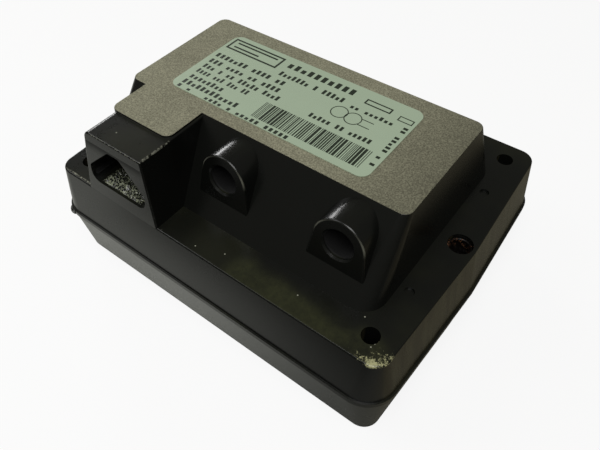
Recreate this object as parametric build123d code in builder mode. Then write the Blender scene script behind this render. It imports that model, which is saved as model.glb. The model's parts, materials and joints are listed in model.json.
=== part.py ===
from build123d import *
import os
from math import atan2, cos, pi, radians, sin, tan

# A potted ignition transformer for an oil or gas burner.
# X runs along the long side, Y from the outlet side to the back, Z up from the mounting face.
# The origin is the middle of the base, on the mounting face.

# Base: two drafted tiers that meet at a parting line, with ends that swell to a blunt point
base_length = 118.0
base_width = 94.3
base_height = 37.0
parting_height = 19.5
end_bulge = 1.8
flange_corner_radius = 4.6
parting_corner_radius = 9.4
bottom_corner_radius = 5.2
upper_end_lean = 2.8
upper_side_lean = 2.6
lower_end_lean = 2.1
lower_side_lean = 3.5
wall = 2.5
floor_thickness = 2.5
edge_radius = 0.5
bead_width = 0.35
bead_height = 1.6
parting_groove = 0.3
lip_thickness = 1.1
lip_height = 2.0
lip_clearance = 0.1

# Raised block over the coils, whose walls lean in from the foot to the top
coil_height = 39.0
outlet_cover = 8.6
top_shift_x = -0.8
flange_front = 11.15
flange_back = 11.95
flange_end = 8.27
block_front_lean = 16.4
block_back_lean = 12.0
block_end_lean = 2.9
block_top_corner = 2.7
block_foot_corner = 7.0
top_edge_radius = 0.3

# Mains socket tower at the front left, and the shoulder that joins it to the block
tower_end_inset = 7.3
tower_top_width = 22.6
tower_drop = 0.5
tower_front_slope = 5.9
tower_left_slope = 7.3
tower_right_slope = 9.5
tower_round = 2.4
tower_edge_radius = 0.5
shoulder_reach = 14.1
shoulder_overhang = 1.2
shoulder_setback = 0.6
socket_width = 22.6
socket_floor_drop = 1.5
socket_side_height = 5.4
socket_roof = 3.6
socket_ridge = 4.5
socket_floor_corner = 3.2
socket_shoulder_corner = 2.2
socket_ridge_corner = 1.7
sleeve_wall = 2.0
sleeve_coil_gap = 0.6

# High-voltage outlets
outlet_end_inset = 12.1
outlet_spacing = 37.8
outlet_radius = 7.7
outlet_reach = 4.9
outlet_face_slope = 6.4
outlet_flare = 9.0
outlet_edge_radius = 0.6
outlet_bore = 9.0
outlet_mouth_depth = 8.5
outlet_inner_bore = 8.0
outlet_depth = 23.0
outlet_chamfer = 0.5
tube_wall = 2.0
tube_end_wall = 2.5

# Fixing holes, earth bush and moulding dimples in the flange
fixing_inset_x = 6.8
fixing_inset_y = 7.45
fixing_shift_x = -0.4
fixing_hole = 5.0
pillar_wall = 2.6
earth_hole_inset = 4.6
bush_outer = 7.1
bush_wall = 0.65
bush_fit = 0.05
bush_recess = 1.2
bush_chamfer = 0.2
bush_pillar_wall = 1.8
bush_bare_height = 8.0
dimple_inset = 5.35
dimple_spacing = 45.0
dimple_width = 2.8
dimple_depth = 0.7

# Rating label
label_length = 69.0
label_width = 32.6
label_thickness = 0.2
label_corner = 3.0
label_shift_x = -1.75
label_shift_y = -0.65

# Core: an E-shaped stack that lies flat, closed by a straight stack
core_end_gap = 13.0
core_side_gap = 12.4
core_stack = 16.0
lamination_count = 16
lamination_varnish = 0.05
centre_limb = 20.0
outer_limb = 10.0
yoke_width = 10.0
band_thickness = 0.6
band_width = 10.0

# Coils on the centre limb
coil_floor_gap = 1.5
coil_tube_gap = 1.1
coil_window_gap = 0.5
coil_end_gap = 0.5
bobbin_wall = 1.0
bobbin_fit = 0.2
bobbin_flange = 1.2
flange_corner = 1.0
primary_length = 26.0
shunt_thickness = 6.0
shunt_bobbin_gap = 0.8
shunt_air_gap = 0.5
secondary_gap = 1.6
wrap_thickness = 0.6
wrap_inset = 1.2
winding_corner = 3.0

# Pins of the outlets, contacts of the socket, and the wires inside
pin_length = 12.0
pin_diameter = 2.4
pin_tip_length = 2.5
pin_tip_diameter = 0.6
pin_collar_diameter = 6.0
pin_collar_height = 2.0
pin_shank_diameter = 3.0
pin_shank_fit = 0.05
pin_tail = 3.0
insert_thickness = 3.0
insert_fit = 0.1
blade_width = 6.3
blade_thickness = 0.8
blade_reach = 10.0
blade_tail = 4.0
blade_spacing = 9.4
blade_lift = 3.4
earth_blade_lift = 8.6
blade_fit = 0.05
blade_point = 1.0
blade_eye = 1.6
blade_eye_inset = 3.2
mains_lead_diameter = 1.8
outlet_lead_diameter = 2.6
tap_lead_diameter = 1.4
lead_run = 5.0
lead_end_inset = 3.0
lead_rise = 3.5
strap_width = 6.0
strap_thickness = 0.8
strap_eye_margin = 0.45
strap_tab_height = 6.0
spill_depth = 0.8
spill_setback = 1.4
lump_radius = 2.1
lump_height = 1.3
lump_pitch = 2.9
lump_sides = 5
lump_taper = 38.0
lump_wander = 0.4
lump_variation = 0.2

# Places that follow from these sizes
half_length = base_length / 2
half_width = base_width / 2
cut_length = base_width
coil_bottom = floor_thickness + coil_floor_gap
coil_top = coil_bottom + coil_height
coil_axis_z = (coil_bottom + coil_top) / 2
tube_radius = outlet_bore / 2 + tube_wall
outlet_height = coil_top + coil_tube_gap + tube_radius

block_top_height = outlet_height + outlet_cover
block_rise = block_top_height - base_height
block_top_half = half_length - flange_end - block_end_lean
block_top_front = flange_front - half_width + block_front_lean
block_top_back = half_width - flange_back - block_back_lean
coil_axis_y = (block_top_front + block_top_back) / 2

tower_top_height = block_top_height - tower_drop
tower_left = top_shift_x - block_top_half + tower_end_inset
tower_right = tower_left + tower_top_width
tower_centre = (tower_left + tower_right) / 2
socket_floor_height = coil_top - socket_floor_drop
socket_rise = tower_top_height - socket_roof - socket_floor_height

outlet_right_x = top_shift_x + block_top_half - outlet_end_inset
outlet_left_x = outlet_right_x - outlet_spacing
outlet_places = {"left": outlet_left_x, "right": outlet_right_x}
outlet_wall_y = block_top_front - outlet_cover * block_front_lean / block_rise
outlet_face_y = outlet_wall_y - outlet_reach
outlet_end_y = outlet_face_y + outlet_depth

fixing_x = half_length - fixing_inset_x
fixing_y = half_width - fixing_inset_y
dimple_x = half_length - dimple_inset
bush_x = half_length + end_bulge - earth_hole_inset
bush_hole = bush_outer + 2 * bush_fit
strap_height = parting_height

core_half_length = half_length - core_end_gap
core_half_width = half_width - core_side_gap - coil_axis_y
core_bottom = coil_axis_z - core_stack / 2
core_top = coil_axis_z + core_stack / 2
window_half = core_half_length - yoke_width
window_depth = core_half_width - outer_limb - centre_limb / 2
coil_half_width = centre_limb / 2 + window_depth - coil_window_gap
coil_front = coil_axis_y - coil_half_width
coil_half_height = (coil_top - coil_bottom) / 2
wrap_half_width = coil_half_width - wrap_inset
wrap_top = coil_top - wrap_inset
winding_half_width = wrap_half_width - wrap_thickness
winding_half_height = coil_half_height - wrap_inset - wrap_thickness
primary_start = coil_end_gap - window_half
shunt_start = primary_start + primary_length + shunt_bobbin_gap
secondary_start = shunt_start + shunt_thickness + shunt_bobbin_gap
secondary_length = (window_half - coil_end_gap - secondary_start - secondary_gap) / 2
secondary_places = {
    "left": secondary_start,
    "right": secondary_start + secondary_length + secondary_gap,
}
sleeve_end_y = coil_front - sleeve_coil_gap
insert_face_y = sleeve_end_y - insert_thickness


def between(height, at_bottom, at_parting, at_flange):
    """A size of the base at a height, which changes evenly within each tier."""
    if height < parting_height:
        return at_bottom + (at_parting - at_bottom) * height / parting_height
    share = (height - parting_height) / (base_height - parting_height)
    return at_parting + (at_flange - at_parting) * share


def base_outline(height, inset=0.0):
    """The outline of the base at a height, set in from its outside."""
    parting_x = half_length + upper_end_lean
    parting_y = half_width + upper_side_lean
    half_x = between(height, parting_x - lower_end_lean, parting_x, half_length) - inset
    half_y = between(height, parting_y - lower_side_lean, parting_y, half_width) - inset
    radius = between(height, bottom_corner_radius, parting_corner_radius, flange_corner_radius) - inset
    point_x = half_x + end_bulge * half_y / half_width
    with BuildSketch(Plane.XY.offset(height)) as outline:
        with BuildLine():
            Polyline(
                (half_x, -half_y),
                (point_x, 0),
                (half_x, half_y),
                (-half_x, half_y),
                (-point_x, 0),
                (-half_x, -half_y),
                close=True,
            )
        make_face()
        corners = vertices().filter_by(lambda corner: abs(corner.Y) > half_y / 2)
        fillet(corners, max(radius, edge_radius))
    return outline.sketch


def tier(bottom, top, inset=0.0, mode=Mode.ADD):
    """A slice of the base that lies on one side of the parting line."""
    loft([base_outline(bottom, inset), base_outline(top, inset)], ruled=True, mode=mode)


def rectangle_section(height, left, right, front, back, corner):
    """A level rectangle given by its four sides, with rounded corners where a radius is given."""
    with BuildSketch(Plane.XY.offset(height)) as section:
        with Locations(((left + right) / 2, (front + back) / 2)):
            Rectangle(right - left, back - front)
        if corner > 0:
            fillet(vertices(), corner)
    return section.sketch


def block_section(height, corner, inset=0.0):
    """The raised block's section at a height."""
    down = (block_top_height - height) / block_rise
    half = block_top_half + down * block_end_lean - inset
    front = block_top_front - down * block_front_lean + inset
    back = block_top_back + down * block_back_lean - inset
    return rectangle_section(height, top_shift_x - half, top_shift_x + half, front, back, corner)


def tower_section(height):
    """The socket tower's section at a height."""
    down = tower_top_height - height
    left = tower_left - down * tan(radians(tower_left_slope))
    right = tower_right + down * tan(radians(tower_right_slope))
    front = -half_width + (height - base_height) * tan(radians(tower_front_slope))
    return rectangle_section(height, left, right, front, tower_back, 0)


def shoulder_section(height):
    """The section at a height of the shoulder that carries the block's top forward over the tower."""
    down = tower_top_height - height
    left = tower_left - shoulder_overhang - down * tan(radians(tower_left_slope))
    right = tower_right - shoulder_setback + down * tan(radians(tower_right_slope))
    front = block_top_front - shoulder_reach
    return rectangle_section(height, left, right, front, tower_back + block_top_corner, block_top_corner)


def socket_outline(y, grow=0.0, rounded=False):
    """The house-shaped section of the mains socket, on an upright plane across it."""
    roof = atan2(socket_rise - socket_side_height, (socket_width - socket_ridge) / 2)
    half = socket_width / 2 + grow
    side_height = socket_side_height + grow * tan((pi / 2 - roof) / 2)
    ridge = socket_ridge / 2 + grow * tan(roof / 2)
    floor = (tower_centre, y, socket_floor_height)
    with BuildSketch(Plane(origin=floor, x_dir=(1, 0, 0), z_dir=(0, -1, 0))) as outline:
        with BuildLine():
            Polyline(
                (-half, -grow),
                (half, -grow),
                (half, side_height),
                (ridge, socket_rise + grow),
                (-ridge, socket_rise + grow),
                (-half, side_height),
                close=True,
            )
        make_face()
        if rounded:
            fillet(vertices().group_by(Axis.Y)[0], socket_floor_corner + grow)
            fillet(vertices().group_by(Axis.Y)[-1], socket_ridge_corner + grow)
            shoulders = vertices().filter_by(lambda corner: abs(corner.Y - side_height) < edge_radius)
            fillet(shoulders, socket_shoulder_corner + grow)
    return outline.sketch


def outlet_circle(x, y, diameter):
    """A circle about an outlet's bore, on an upright plane that faces the front."""
    with BuildSketch(Plane(origin=(x, y, outlet_height), x_dir=(1, 0, 0), z_dir=(0, -1, 0))) as circle:
        Circle(diameter / 2)
    return circle.sketch


def outlet_profile(x):
    """The front face of an outlet's boss: a round top on flared cheeks, on a plane that leans back."""
    lean = radians(outlet_face_slope)
    flare = radians(outlet_flare)
    depth = outlet_height - base_height
    foot = outlet_radius / cos(flare) + depth * tan(flare)
    face = Plane(origin=(x, outlet_face_y, outlet_height), x_dir=(1, 0, 0), z_dir=(0, -cos(lean), sin(lean)))
    with BuildSketch(face) as profile:
        with BuildLine():
            arc = CenterArc((0, 0), outlet_radius, outlet_flare, 180 - 2 * outlet_flare)
            Polyline(arc @ 1, (-foot, -depth), (foot, -depth), arc @ 0)
        make_face()
    return profile.sketch


def upright_cylinder(x, y, diameter, bottom, top, mode=Mode.ADD):
    """An upright cylinder between two heights."""
    with BuildSketch(Plane.XY.offset(bottom)) as circle:
        with Locations((x, y)):
            Circle(diameter / 2)
    extrude(circle.sketch, amount=top - bottom, mode=mode)


# The tower, before it joins the block
tower_back = block_top_front + wall
with BuildPart() as tower:
    loft([tower_section(base_height - edge_radius), tower_section(tower_top_height)], ruled=True)
    fillet(tower.edges().group_by(Axis.Z)[-1].sort_by(Axis.X)[0], tower_round)
    front_edges = tower.faces().sort_by(Axis.Y)[0].edges()
    top_right = tower.edges().group_by(Axis.Z)[-1].sort_by(Axis.X)[-1]
    fillet(front_edges.filter_by(lambda edge: edge.center().Z > base_height) + [top_right], tower_edge_radius)

# The raised block and the shoulder in front of it, which share one top face
with BuildPart() as shoulder:
    loft([shoulder_section(base_height), shoulder_section(block_top_height)], ruled=True)

with BuildPart() as block:
    loft(
        [block_section(base_height, block_foot_corner), block_section(block_top_height, block_top_corner)],
        ruled=True,
    )
    add(shoulder.part)
    fillet(block.faces().sort_by(Axis.Z)[-1].edges(), top_edge_radius)

# The bosses of the two outlets, run back into the block
outlet_bosses = {}
for side, outlet_x in outlet_places.items():
    with BuildPart() as boss:
        extrude(outlet_profile(outlet_x), amount=block_top_front + wall - outlet_face_y, dir=(0, 1, 0))
        rim = boss.faces().sort_by(Axis.Y)[0].edges()
        fillet(rim.filter_by(lambda edge: edge.center().Z > base_height + edge_radius), outlet_edge_radius)
    outlet_bosses[side] = boss

pillar_diameter = fixing_hole + 2 * pillar_wall
fixing_places = [(fixing_shift_x + x, y) for x in (-fixing_x, fixing_x) for y in (-fixing_y, fixing_y)]
lip_top = parting_height + lip_height

# The lip that locates the lower shell, and the rebate it enters in the upper one
with BuildPart() as lip:
    tier(parting_height, lip_top, wall - lip_thickness)
    tier(parting_height, lip_top, wall, Mode.SUBTRACT)
    for x, y in fixing_places:
        upright_cylinder(x, y, pillar_diameter + 2 * lip_clearance, parting_height, lip_top, Mode.SUBTRACT)

with BuildPart() as lip_rebate:
    tier(parting_height, lip_top + lip_clearance, wall - lip_thickness - lip_clearance)
    tier(parting_height, lip_top + lip_clearance, wall, Mode.SUBTRACT)
    for x, y in fixing_places:
        upright_cylinder(x, y, pillar_diameter, parting_height, lip_top + lip_clearance, Mode.SUBTRACT)

# The space inside both shells, which the resin and all it holds fill
with BuildPart() as cavity:
    tier(floor_thickness, parting_height, wall)
    tier(parting_height, base_height - wall, wall)
    loft(
        [
            block_section(base_height - wall, block_foot_corner - wall, wall),
            block_section(block_top_height - wall, edge_radius, wall),
        ],
        ruled=True,
    )
    extrude(
        rectangle_section(base_height - wall, tower_left, tower_right, wall - half_width, coil_front, 0),
        amount=socket_floor_height - sleeve_wall - base_height + wall,
    )
    for x, y in fixing_places:
        upright_cylinder(x, y, pillar_diameter, 0, base_height, Mode.SUBTRACT)
    bush_pillar = bush_hole + 2 * bush_pillar_wall
    bare_bottom = strap_height - bush_bare_height / 2
    bare_top = strap_height + bush_bare_height / 2
    upright_cylinder(bush_x, 0, bush_pillar, 0, bare_bottom, Mode.SUBTRACT)
    upright_cylinder(bush_x, 0, bush_pillar, bare_top, base_height, Mode.SUBTRACT)
    upright_cylinder(bush_x, 0, bush_outer, bare_bottom, bare_top, Mode.SUBTRACT)
    for x in outlet_places.values():
        tube = outlet_circle(x, outlet_end_y + tube_end_wall, 2 * tube_radius)
        extrude(tube, amount=cut_length, mode=Mode.SUBTRACT)
    extrude(socket_outline(sleeve_end_y, sleeve_wall), amount=cut_length, mode=Mode.SUBTRACT)

# Upper shell, one moulding
with BuildPart() as housing_shell:
    tier(parting_height, base_height)
    fillet(housing_shell.faces().sort_by(Axis.Z)[-1].edges(), edge_radius)
    extrude(base_outline(parting_height, -bead_width), amount=bead_height)
    add(block.part)
    add(tower.part)
    for boss in outlet_bosses.values():
        add(boss.part)
    add(cavity.part, mode=Mode.SUBTRACT)
    add(lip_rebate.part, mode=Mode.SUBTRACT)
    extrude(socket_outline(sleeve_end_y, 0, True), amount=cut_length, mode=Mode.SUBTRACT)
    for x in outlet_places.values():
        extrude(outlet_circle(x, outlet_end_y, outlet_inner_bore), amount=cut_length, mode=Mode.SUBTRACT)
        mouth_end = outlet_face_y + outlet_mouth_depth
        extrude(outlet_circle(x, mouth_end, outlet_bore), amount=cut_length, mode=Mode.SUBTRACT)
        mouth = Vector(x, outlet_face_y, outlet_height)
        rims = housing_shell.edges().filter_by(
            lambda edge: (edge.center(CenterOf.MASS) - mouth).length < edge_radius
        )
        chamfer(rims, outlet_chamfer)
        shank_hole = pin_shank_diameter + 2 * pin_shank_fit
        extrude(outlet_circle(x, outlet_end_y + tube_end_wall, shank_hole),
                amount=2 * tube_end_wall, mode=Mode.SUBTRACT)
    for x, y in fixing_places:
        upright_cylinder(x, y, fixing_hole, 0, block_top_height, Mode.SUBTRACT)
    upright_cylinder(bush_x, 0, bush_hole, 0, block_top_height, Mode.SUBTRACT)
    for x in (top_shift_x - dimple_x, top_shift_x + dimple_x):
        for y in (-dimple_spacing / 2, dimple_spacing / 2):
            upright_cylinder(x, y, dimple_width, base_height - dimple_depth, base_height, Mode.SUBTRACT)
housing_shell.part.label = "housing_shell"

# Lower shell
with BuildPart() as base_tray:
    tier(0, parting_height - parting_groove)
    tier(parting_height - parting_groove, parting_height, parting_groove)
    add(cavity.part, mode=Mode.SUBTRACT)
    add(lip.part)
    for x, y in fixing_places:
        upright_cylinder(x, y, fixing_hole, 0, lip_top, Mode.SUBTRACT)
    upright_cylinder(bush_x, 0, bush_hole, 0, lip_top, Mode.SUBTRACT)
base_tray.part.label = "base_tray"

# Label on the block's top
with BuildPart() as rating_label:
    with BuildSketch(Plane.XY.offset(block_top_height)):
        with Locations((top_shift_x + label_shift_x, coil_axis_y + label_shift_y)):
            RectangleRounded(label_length, label_width, label_corner)
    extrude(amount=label_thickness)
rating_label.part.label = "rating_label"

# Resin that ran into the socket and set in lumps on its floor
spill_front = spill_setback - half_width
spill_length = insert_face_y - spill_front
spill_width = socket_width - 2 * socket_floor_corner
with BuildPart() as spilled_resin:
    with BuildSketch(Plane.XY.offset(socket_floor_height)):
        spill_middle = (insert_face_y + spill_front) / 2
        with Locations((tower_centre, spill_middle)):
            Rectangle(spill_width, spill_length)
    extrude(amount=spill_depth)
    lumps_across = int((spill_width - 2 * lump_radius) / lump_pitch) + 1
    lumps_along = int((spill_length - 2 * lump_radius) / lump_pitch) + 1
    for row in range(lumps_along):
        for column in range(lumps_across):
            wave = sin(7 * row + 3 * column)
            across = (column - (lumps_across - 1) / 2) * lump_pitch
            along = (row - (lumps_along - 1) / 2) * lump_pitch + lump_wander * wave
            radius = lump_radius * (1 + lump_variation * (wave - 1))
            height = lump_height * (1 + 2 * lump_variation * wave)
            with BuildSketch(Plane.XY.offset(socket_floor_height + spill_depth / 2)):
                with Locations((tower_centre + across, spill_middle + along)):
                    RegularPolygon(radius, lump_sides, rotation=47 * row + 31 * column)
            extrude(amount=height, taper=lump_taper)
spilled_resin.part.label = "spilled_resin"

# Steel bush in the earth hole, and the strap that joins it to the core
with BuildPart() as earth_bush:
    upright_cylinder(bush_x, 0, bush_outer, 0, base_height - bush_recess)
    upright_cylinder(bush_x, 0, bush_outer - 2 * bush_wall, 0, base_height, Mode.SUBTRACT)
    chamfer(earth_bush.edges().filter_by(GeomType.CIRCLE).group_by(Axis.Z)[-1], bush_chamfer)
earth_bush.part.label = "earth_bush"

band_end = core_half_length + band_thickness
with BuildPart() as earth_strap:
    strap_edge = Plane(origin=(0, strap_width / 2, 0), x_dir=(1, 0, 0), z_dir=(0, -1, 0))
    with BuildSketch(strap_edge):
        with BuildLine():
            Polyline(
                (band_end, strap_height),
                (bush_x, strap_height),
                (bush_x, strap_height + strap_thickness),
                (band_end + strap_thickness, strap_height + strap_thickness),
                (band_end + strap_thickness, strap_height + strap_tab_height),
                (band_end, strap_height + strap_tab_height),
                close=True,
            )
        make_face()
    extrude(amount=strap_width)
    eye_top = strap_height + strap_thickness
    upright_cylinder(bush_x, 0, bush_outer + 2 * strap_eye_margin, strap_height, eye_top)
    upright_cylinder(bush_x, 0, bush_hole, strap_height, eye_top, Mode.SUBTRACT)
earth_strap.part.label = "earth_strap"


def lamination_stack(shape):
    """Thin sheets of one shape, piled up to the core's height with varnish between them."""
    pitch = core_stack / lamination_count
    for layer in range(lamination_count):
        sheet_bottom = core_bottom + layer * pitch
        extrude(shape.sketch.moved(Location((0, 0, sheet_bottom))), amount=pitch - lamination_varnish)


# Core: the E of three limbs and a yoke, the straight sheets that close it, and the two shunts
core_front = coil_axis_y - core_half_width
core_back = coil_axis_y + core_half_width
with BuildSketch() as e_shape:
    add(rectangle_section(0, -core_half_length, window_half, core_front, core_back, 0))
    for sign in (-1, 1):
        window_middle = coil_axis_y + sign * (centre_limb + window_depth) / 2
        with Locations((0, window_middle)):
            Rectangle(2 * window_half, window_depth, mode=Mode.SUBTRACT)
with BuildPart() as core_e_stack:
    lamination_stack(e_shape)
core_e_stack.part.label = "core_e_stack"

with BuildSketch() as i_shape:
    add(rectangle_section(0, window_half, core_half_length, core_front, core_back, 0))
with BuildPart() as core_i_stack:
    lamination_stack(i_shape)
core_i_stack.part.label = "core_i_stack"

with BuildSketch() as shunt_shape:
    for sign in (-1, 1):
        window_middle = coil_axis_y + sign * (centre_limb + window_depth) / 2
        with Locations((shunt_start + shunt_thickness / 2, window_middle)):
            Rectangle(shunt_thickness, window_depth - 2 * shunt_air_gap)
with BuildPart() as magnetic_shunts:
    lamination_stack(shunt_shape)
magnetic_shunts.part.label = "magnetic_shunts"

# Steel band that holds the two stacks together
with BuildPart() as core_band:
    with BuildSketch(Plane.XY.offset(coil_axis_z - band_width / 2)):
        with Locations((0, coil_axis_y)):
            Rectangle(2 * band_end, 2 * (core_half_width + band_thickness))
            Rectangle(2 * core_half_length, 2 * core_half_width, mode=Mode.SUBTRACT)
    extrude(amount=band_width)
core_band.part.label = "core_band"


def coil_section(start, width, height, hole_width, hole_height, corner=0.0, hole_corner=0.0):
    """A ring about the centre limb, on the plane across it at one place."""
    across = Plane(origin=(start, coil_axis_y, coil_axis_z), x_dir=(0, 1, 0), z_dir=(1, 0, 0))
    with BuildSketch(across) as ring:
        Rectangle(width, height)
        if corner > 0:
            fillet(vertices(), corner)
        if hole_corner > 0:
            RectangleRounded(hole_width, hole_height, hole_corner, mode=Mode.SUBTRACT)
        else:
            Rectangle(hole_width, hole_height, mode=Mode.SUBTRACT)
    return ring.sketch


# Bobbin, winding and outer wrap of each coil
coil_spans = {
    "primary_{}": (primary_start, primary_length),
    "secondary_{}_left": (secondary_places["left"], secondary_length),
    "secondary_{}_right": (secondary_places["right"], secondary_length),
}
limb_width = centre_limb + 2 * bobbin_fit
limb_height = core_stack + 2 * bobbin_fit
tube_width = limb_width + 2 * bobbin_wall
tube_height = limb_height + 2 * bobbin_wall
coil_parts = {}
for name, (start, length) in coil_spans.items():
    with BuildPart() as bobbin:
        extrude(coil_section(start, tube_width, tube_height, limb_width, limb_height), amount=length)
        for flange_start in (start, start + length - bobbin_flange):
            flange_ring = coil_section(
                flange_start, 2 * coil_half_width, 2 * coil_half_height,
                limb_width, limb_height, flange_corner,
            )
            extrude(flange_ring, amount=bobbin_flange)
    coil_parts[name.format("bobbin")] = bobbin
    with BuildPart() as winding:
        winding_ring = coil_section(
            start + bobbin_flange, 2 * winding_half_width, 2 * winding_half_height,
            tube_width, tube_height, winding_corner,
        )
        extrude(winding_ring, amount=length - 2 * bobbin_flange)
    coil_parts[name.format("winding")] = winding
    with BuildPart() as wrap:
        wrap_ring = coil_section(
            start + bobbin_flange, 2 * wrap_half_width, 2 * (wrap_top - coil_axis_z),
            2 * winding_half_width, 2 * winding_half_height,
            winding_corner + wrap_thickness, winding_corner,
        )
        extrude(wrap_ring, amount=length - 2 * bobbin_flange)
    coil_parts[name.format("wrap")] = wrap
for name, piece in coil_parts.items():
    piece.part.label = name

# Pins at the ends of the two high-voltage bores
outlet_pins = {}
for side, outlet_x in outlet_places.items():
    with BuildPart() as pin:
        seat = Plane(origin=(outlet_x, outlet_end_y, outlet_height), x_dir=(1, 0, 0), z_dir=(0, 0, 1))
        pin_front = -pin_collar_height - pin_length
        with BuildSketch(seat):
            with BuildLine():
                Polyline(
                    (0, pin_front),
                    (pin_tip_diameter / 2, pin_front),
                    (pin_diameter / 2, pin_front + pin_tip_length),
                    (pin_diameter / 2, -pin_collar_height),
                    (pin_collar_diameter / 2, -pin_collar_height),
                    (pin_collar_diameter / 2, 0),
                    (pin_shank_diameter / 2, 0),
                    (pin_shank_diameter / 2, tube_end_wall + pin_tail),
                    (0, tube_end_wall + pin_tail),
                    close=True,
                )
            make_face()
        revolve(axis=Axis((outlet_x, outlet_end_y, outlet_height), (0, 1, 0)))
    pin.part.label = f"outlet_pin_{side}"
    outlet_pins[side] = pin

# Terminal carrier at the inner end of the mains socket, and its three blades
blade_places = {
    "line": (tower_centre - blade_spacing / 2, socket_floor_height + blade_lift),
    "neutral": (tower_centre + blade_spacing / 2, socket_floor_height + blade_lift),
    "earth": (tower_centre, socket_floor_height + earth_blade_lift),
}
blade_front = insert_face_y - blade_reach
blade_back = sleeve_end_y + blade_tail
with BuildPart() as socket_insert:
    extrude(socket_outline(sleeve_end_y, -insert_fit, True), amount=insert_thickness)
    for x, z in blade_places.values():
        slot_plane = Plane(origin=(x, sleeve_end_y, z), x_dir=(1, 0, 0), z_dir=(0, -1, 0))
        with BuildSketch(slot_plane):
            Rectangle(blade_width + 2 * blade_fit, blade_thickness + 2 * blade_fit)
        extrude(amount=insert_thickness, mode=Mode.SUBTRACT)
socket_insert.part.label = "socket_insert"

blades = {}
for name, (x, z) in blade_places.items():
    with BuildPart() as blade:
        with BuildSketch(Plane(origin=(x, blade_back, z), x_dir=(1, 0, 0), z_dir=(0, -1, 0))):
            Rectangle(blade_width, blade_thickness)
        extrude(amount=blade_back - blade_front)
        chamfer(blade.edges().filter_by(Axis.Z).group_by(Axis.Y)[0], blade_point)
        upright_cylinder(x, blade_front + blade_eye_inset, blade_eye, z - blade_thickness,
                         z + blade_thickness, Mode.SUBTRACT)
    blade.part.label = f"{name}_blade"
    blades[name] = blade


def wire(diameter, bend, *points):
    """A round wire along straight runs with rounded corners."""
    with BuildLine() as route:
        FilletPolyline(*points, radius=bend)
    with BuildSketch(Plane(origin=route.line @ 0, z_dir=route.line % 0)) as section:
        Circle(diameter / 2)
    sweep(sections=section.sketch, path=route.line)


# Insulated leads from the secondaries to the outlet pins
lead_places = {
    "left": secondary_places["left"] + bobbin_flange + lead_end_inset,
    "right": secondary_places["right"] + secondary_length - bobbin_flange - lead_end_inset,
}
tail_y = outlet_end_y + tube_end_wall + pin_tail
outlet_leads = {}
for side, outlet_x in outlet_places.items():
    with BuildPart() as lead:
        coil_x = lead_places[side]
        wire(
            outlet_lead_diameter,
            outlet_lead_diameter,
            (outlet_x, tail_y, outlet_height),
            (outlet_x, tail_y + lead_run, outlet_height),
            (coil_x, tail_y + 2 * lead_run, outlet_height),
            (coil_x, tail_y + 3 * lead_run, outlet_height),
            (coil_x, tail_y + 3 * lead_run, wrap_top),
        )
    lead.part.label = f"outlet_lead_{side}"
    outlet_leads[side] = lead

# Mains leads from the blades to the primary, and the earth lead to the core
line_x, mains_z = blade_places["line"]
neutral_x = blade_places["neutral"][0]
primary_x = primary_start + bobbin_flange + lead_end_inset
with BuildPart() as line_lead:
    wire(
        mains_lead_diameter,
        mains_lead_diameter,
        (line_x, blade_back, mains_z),
        (line_x, blade_back + lead_run, mains_z),
        (primary_x, blade_back + 2 * lead_run, mains_z),
        (primary_x, blade_back + 3 * lead_run, mains_z),
        (primary_x, blade_back + 3 * lead_run, wrap_top),
    )
line_lead.part.label = "line_lead"

with BuildPart() as neutral_lead:
    wire(
        mains_lead_diameter,
        mains_lead_diameter,
        (neutral_x, blade_back, mains_z),
        (neutral_x, blade_back + 2 * lead_run, mains_z),
        (neutral_x, blade_back + 2 * lead_run, wrap_top),
    )
neutral_lead.part.label = "neutral_lead"

earth_x, earth_z = blade_places["earth"]
yoke_x = yoke_width / 2 - core_half_length
with BuildPart() as earth_lead:
    wire(
        mains_lead_diameter,
        mains_lead_diameter,
        (earth_x, blade_back, earth_z),
        (earth_x, blade_back + lead_run, earth_z),
        (yoke_x, blade_back + 2 * lead_run, earth_z),
        (yoke_x, blade_back + 2 * lead_run, core_top - lamination_varnish),
    )
earth_lead.part.label = "earth_lead"

# Leads from the inner ends of the two secondaries over their flanges to the core's back limb
tap_places = (
    secondary_places["left"] + secondary_length - bobbin_flange - lead_end_inset,
    secondary_places["right"] + bobbin_flange + lead_end_inset,
)
tap_start_y = coil_axis_y + coil_half_width / 2
tap_edge_y = coil_axis_y + coil_half_width + tap_lead_diameter
tap_end_y = core_back - outer_limb / 2
with BuildPart() as centre_tap_leads:
    for x in tap_places:
        wire(
            tap_lead_diameter,
            tap_lead_diameter,
            (x, tap_start_y, wrap_top),
            (x, tap_start_y, wrap_top + lead_rise),
            (x, tap_edge_y, wrap_top + lead_rise),
            (x, tap_end_y, core_top + lead_run),
            (x, tap_end_y, core_top - lamination_varnish),
        )
centre_tap_leads.part.label = "centre_tap_leads"

# Resin that fills the shells round everything
with BuildPart() as potting_compound:
    add(cavity.part)
    core_block = rectangle_section(core_bottom, -core_half_length, core_half_length, core_front, core_back, 0)
    extrude(core_block, amount=core_stack - lamination_varnish, mode=Mode.SUBTRACT)
    for start, length in coil_spans.values():
        across = Plane(origin=(start, coil_axis_y, coil_axis_z), x_dir=(0, 1, 0), z_dir=(1, 0, 0))
        with BuildSketch(across):
            Rectangle(2 * coil_half_width, 2 * coil_half_height)
        extrude(amount=length, mode=Mode.SUBTRACT)
    embedded = [core_band, earth_strap, line_lead, neutral_lead, earth_lead, centre_tap_leads]
    embedded += [*outlet_pins.values(), *outlet_leads.values(), *blades.values()]
    for piece in embedded:
        add(piece.part, mode=Mode.SUBTRACT)
potting_compound.part.label = "potting_compound"

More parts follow.
